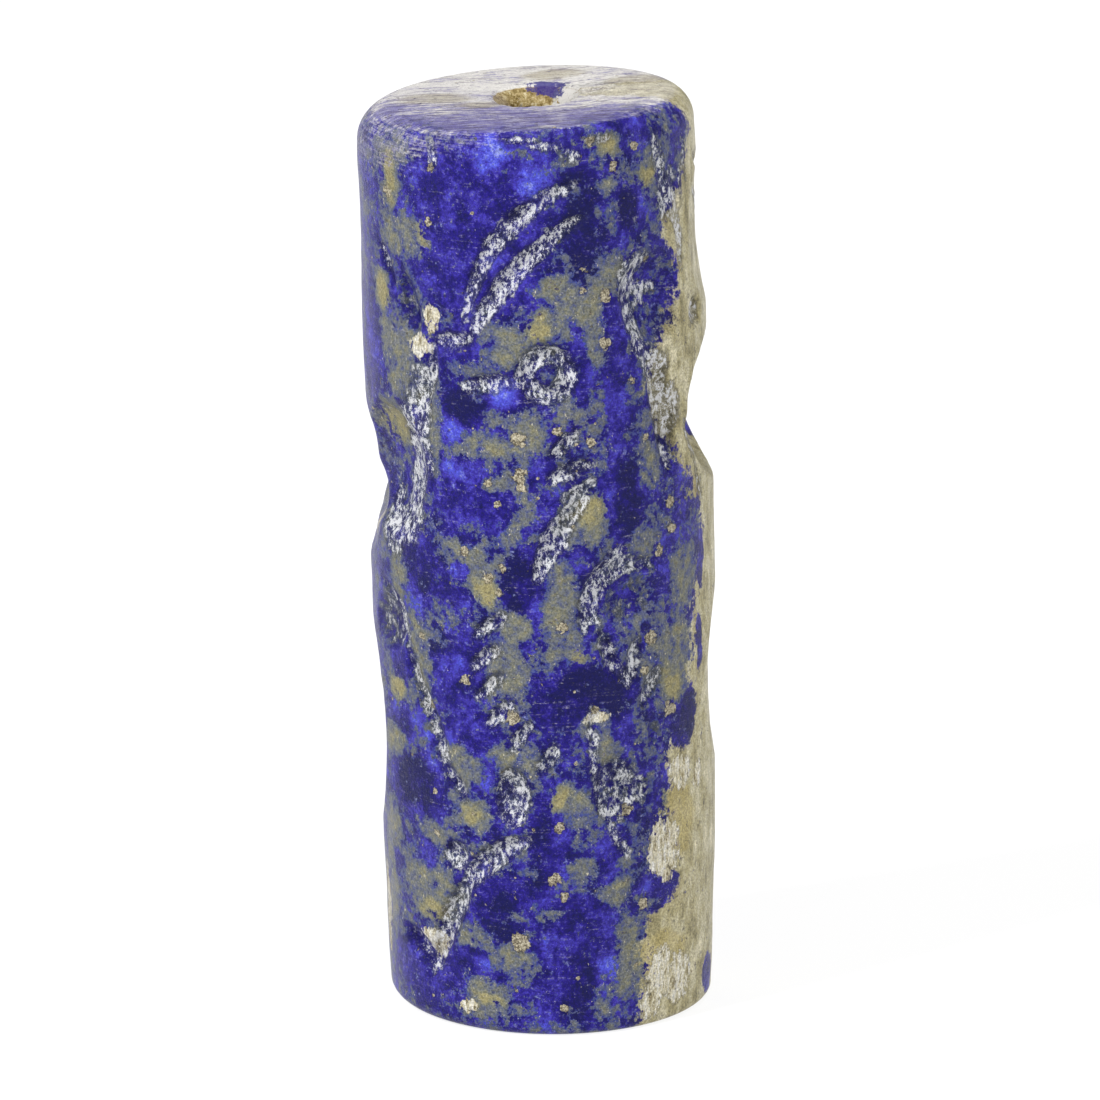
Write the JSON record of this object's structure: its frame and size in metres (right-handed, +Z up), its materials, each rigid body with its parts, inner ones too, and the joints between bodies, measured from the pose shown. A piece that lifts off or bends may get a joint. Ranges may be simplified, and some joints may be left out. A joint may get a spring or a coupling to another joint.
{
  "type": "cylinder seal",
  "caption": "Carved cylinder seal of blue stone, bored from end to end, that is rolled over clay to print its figures.",
  "frame": {"origin": "middle of the box round the seal, on the surface that it stands on", "axes": "+Z up along the seal and its bore, -Y towards the front that shows the horned goat and the ring-headed figure"},
  "size_m": [0.0138, 0.0132, 0.0358],
  "materials": {
    "lapis": "worn soft polish, mottled blue, grey-green and ochre with pale metallic flecks"
  },
  "bodies": {
    "root": {"cylinder_seal": "lapis"}
  },
  "joints": []
}
